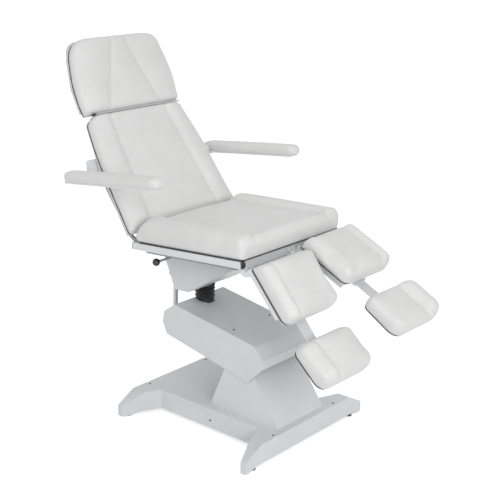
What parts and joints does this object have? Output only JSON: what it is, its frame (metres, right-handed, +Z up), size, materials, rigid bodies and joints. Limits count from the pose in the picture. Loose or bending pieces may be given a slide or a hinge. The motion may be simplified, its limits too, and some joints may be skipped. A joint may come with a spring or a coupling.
{
  "type": "podiatry chair",
  "caption": "Podiatry chair with a lifting arm on a splayed base, tilting and turning seat, reclining back, headrest, folding armrests and separate leg rests with foot pads.",
  "frame": {"origin": "on the floor under the middle of the base, between its four levelling feet", "axes": "+Z up, the occupant faces -Y, the occupant's right-hand side is -X"},
  "size_m": [0.842, 1.4282, 1.4099],
  "materials": {
    "upholstery": "matt leatherette",
    "painted_covers": "satin powder coat",
    "painted_frame": "satin powder coat",
    "board_covering": "smooth white",
    "black_board": "black lining cloth",
    "bright_steel": "turned",
    "grey_steel": "grey paint",
    "black_steel": "satin black",
    "black_rubber": "matt",
    "black_plastic": "satin"
  },
  "bodies": {
    "base": {"base_frame": "grey_steel", "levelling_feet": "black_rubber", "base_cover_rear": "painted_covers", "base_cover_front": "painted_covers", "base_screws": "bright_steel", "pedestal": "grey_steel", "lift_pins": "bright_steel", "lift_actuator_tube": "grey_steel"},
    "lift_arm": {"lift_arm": "grey_steel", "arm_cover": "painted_covers", "arm_cover_screws": "bright_steel", "head_pin": "bright_steel"},
    "level_link": {"level_link": "grey_steel"},
    "lift_rod": {"lift_actuator_rod": "grey_steel"},
    "head": {"head_column": "grey_steel", "tilt_pin": "bright_steel", "bellows": "black_rubber"},
    "tilt_carrier": {"tilt_frame": "grey_steel", "tilt_housing": "painted_covers", "turntable_lower": "black_steel"},
    "tilt_rod": {"tilt_rod": "grey_steel"},
    "lock_lever": {"lock_lever": "bright_steel", "lever_knob": "black_plastic"},
    "seat": {"turntable_upper": "black_steel", "seat_frame": "painted_frame", "rail_caps": "black_plastic", "seat_subframe": "grey_steel", "seat_board": "black_board", "seat_cushion": "upholstery", "back_actuator_tube": "grey_steel", "back_hinge_pins": "bright_steel", "leg_hinge_rods": "bright_steel"},
    "back_rod": {"back_actuator_rod": "grey_steel"},
    "backrest": {"back_frame": "grey_steel", "back_board": "board_covering", "back_cushion": "upholstery", "arm_bracket_right": "painted_frame", "arm_bracket_left": "painted_frame", "head_hinge_pins": "bright_steel"},
    "headrest": {"head_board": "board_covering", "head_cushion": "upholstery"},
    "armrest_right": {"armrest_right": "painted_frame", "arm_pad_right": "upholstery"},
    "leg_right": {"leg_frame_right": "painted_frame", "leg_cushion_right": "upholstery"},
    "extension_right": {"extension_bar_right": "painted_frame"},
    "footpad_right": {"foot_tray_right": "painted_frame", "foot_knob_right": "black_plastic", "foot_cushion_right": "upholstery"},
    "armrest_left": {"armrest_left": "painted_frame", "arm_pad_left": "upholstery"},
    "leg_left": {"leg_frame_left": "painted_frame", "leg_cushion_left": "upholstery"},
    "extension_left": {"extension_bar_left": "painted_frame"},
    "footpad_left": {"foot_tray_left": "painted_frame", "foot_knob_left": "black_plastic", "foot_cushion_left": "upholstery"}
  },
  "joints": [
    {"name": "lift", "type": "hinge", "parent": "base", "child": "lift_arm", "pos_m": [0, -0.1, 0.377], "axis": [1, 0, 0], "range_deg": [-38, 17]},
    {"name": "head_level", "type": "hinge", "parent": "lift_arm", "child": "head", "pos_m": [0, 0.18066, 0.42045], "axis": [1, 0, 0], "range_deg": [-17, 38], "deforming": ["bellows"]},
    {"name": "level_link_swing", "type": "hinge", "parent": "base", "child": "level_link", "pos_m": [0, -0.1, 0.317], "axis": [1, 0, 0], "range_deg": [-38, 17]},
    {"name": "lift_rod_pivot", "type": "hinge", "parent": "lift_arm", "child": "lift_rod", "pos_m": [0, -0.0202, 0.37142], "axis": [1, 0, 0], "range_deg": [-17, 38]},
    {"name": "tilt", "type": "hinge", "parent": "head", "child": "tilt_carrier", "pos_m": [0, 0.18066, 0.56], "axis": [-1, 0, 0], "range_deg": [-4.7, 10]},
    {"name": "tilt_rod_pivot", "type": "hinge", "parent": "tilt_carrier", "child": "tilt_rod", "pos_m": [0, 0.337, 0.575], "axis": [-1, 0, 0], "range_deg": [-10, 4.7]},
    {"name": "lock_lever_turn", "type": "hinge", "parent": "tilt_carrier", "child": "lock_lever", "pos_m": [-0.106, 0.15174, 0.63655], "axis": [0, 0.0819, 0.9966], "range_deg": [0, 25]},
    {"name": "swivel", "type": "hinge", "parent": "tilt_carrier", "child": "seat", "pos_m": [0, 0.09621, 0.69329], "axis": [0, 0.0819, 0.9966], "range_deg": [-90, 90]},
    {"name": "recline", "type": "hinge", "parent": "seat", "child": "backrest", "pos_m": [0, 0.27932, 0.69931], "axis": [-1, 0, 0], "range_deg": [-10, 55]},
    {"name": "back_rod_pivot", "type": "hinge", "parent": "backrest", "child": "back_rod", "pos_m": [0.17, 0.29521, 0.64665], "axis": [-1, 0, 0], "range_deg": [-55, 10]},
    {"name": "headrest_tilt", "type": "hinge", "parent": "backrest", "child": "headrest", "pos_m": [0, 0.61124, 1.11426], "axis": [1, 0, 0], "range_deg": [-30, 3]},
    {"name": "armrest_right_fold", "type": "hinge", "parent": "backrest", "child": "armrest_right", "pos_m": [-0.325, 0.4958, 0.93471], "axis": [-1, 0, 0], "range_deg": [0, 110]},
    {"name": "armrest_left_fold", "type": "hinge", "parent": "backrest", "child": "armrest_left", "pos_m": [0.325, 0.4958, 0.93471], "axis": [-1, 0, 0], "range_deg": [0, 110]},
    {"name": "leg_right_hinge", "type": "hinge", "parent": "seat", "child": "leg_right", "pos_m": [-0.1435, -0.23413, 0.71493], "axis": [1, 0, 0], "range_deg": [-53.3, 21.7]},
    {"name": "leg_right_extension", "type": "slide", "parent": "leg_right", "child": "extension_right", "axis": [0, -0.6613, -0.7501], "range_m": [-0.04, 0.12]},
    {"name": "footpad_right_tilt", "type": "hinge", "parent": "extension_right", "child": "footpad_right", "pos_m": [-0.1435, -0.44857, 0.47472], "axis": [1, 0, 0], "range_deg": [-30, 45]},
    {"name": "leg_left_hinge", "type": "hinge", "parent": "seat", "child": "leg_left", "pos_m": [0.1435, -0.23413, 0.71493], "axis": [1, 0, 0], "range_deg": [-29.9, 45.1]},
    {"name": "leg_left_extension", "type": "slide", "parent": "leg_left", "child": "extension_left", "axis": [0, -0.9048, -0.4258], "range_m": [-0.04, 0.12]},
    {"name": "footpad_left_tilt", "type": "hinge", "parent": "extension_left", "child": "footpad_left", "pos_m": [0.1435, -0.52634, 0.57964], "axis": [1, 0, 0], "range_deg": [-30, 45]}
  ],
  "couplings": [
    {"joint": "head_level", "follows": "lift", "ratio": -1},
    {"joint": "level_link_swing", "follows": "lift", "ratio": 1},
    {"joint": "lift_rod_pivot", "follows": "lift", "ratio": -1},
    {"joint": "tilt_rod_pivot", "follows": "tilt", "ratio": -1},
    {"joint": "back_rod_pivot", "follows": "recline", "ratio": -1}
  ]
}
